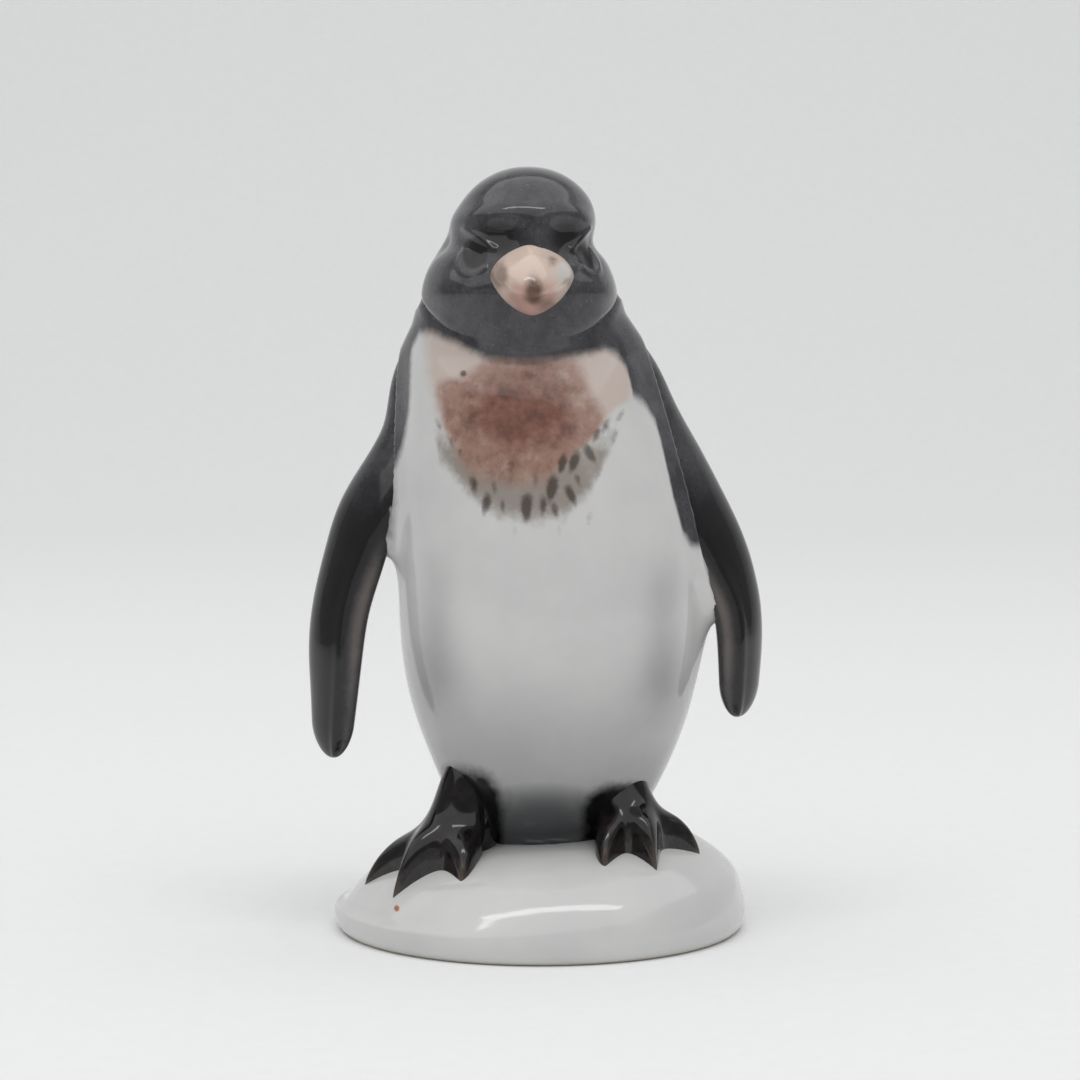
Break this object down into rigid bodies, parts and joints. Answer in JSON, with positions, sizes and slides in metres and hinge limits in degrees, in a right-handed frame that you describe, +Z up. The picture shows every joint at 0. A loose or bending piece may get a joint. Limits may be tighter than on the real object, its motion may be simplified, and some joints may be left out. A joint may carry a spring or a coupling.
{
  "type": "penguin figurine",
  "caption": "Glazed porcelain penguin standing on a leaning domed plinth, flippers held off a white belly, a free-standing ornament.",
  "frame": {"origin": "middle of the plinth's foot ring, on the plane it stands on", "axes": "+Z up along the standing penguin, -Y the way the penguin faces, +X the penguin's own left"},
  "size_m": [0.0601, 0.0544, 0.1001],
  "materials": {
    "white_glaze": "clear gloss glaze over white porcelain",
    "painted_glaze": "gloss glaze over white porcelain airbrushed grey and rust",
    "dark_glaze": "gloss glaze over charcoal underglaze colour",
    "black_glaze": "gloss glaze over brown-black underglaze colour",
    "beak_glaze": "gloss glaze over flesh pink and brown",
    "fired_slip": "bare fired porcelain slip"
  },
  "bodies": {
    "root": {"plinth_shell": "white_glaze", "body_shell": "painted_glaze", "head_shell": "dark_glaze", "beak": "beak_glaze", "left_flipper": "dark_glaze", "right_flipper": "dark_glaze", "left_foot": "black_glaze", "right_foot": "black_glaze", "tail": "dark_glaze", "neck_slip": "fired_slip", "seat_slip": "fired_slip", "beak_slip": "fired_slip", "left_flipper_slip": "fired_slip", "right_flipper_slip": "fired_slip", "left_foot_slip": "fired_slip", "right_foot_slip": "fired_slip", "tail_slip": "fired_slip"}
  },
  "joints": []
}
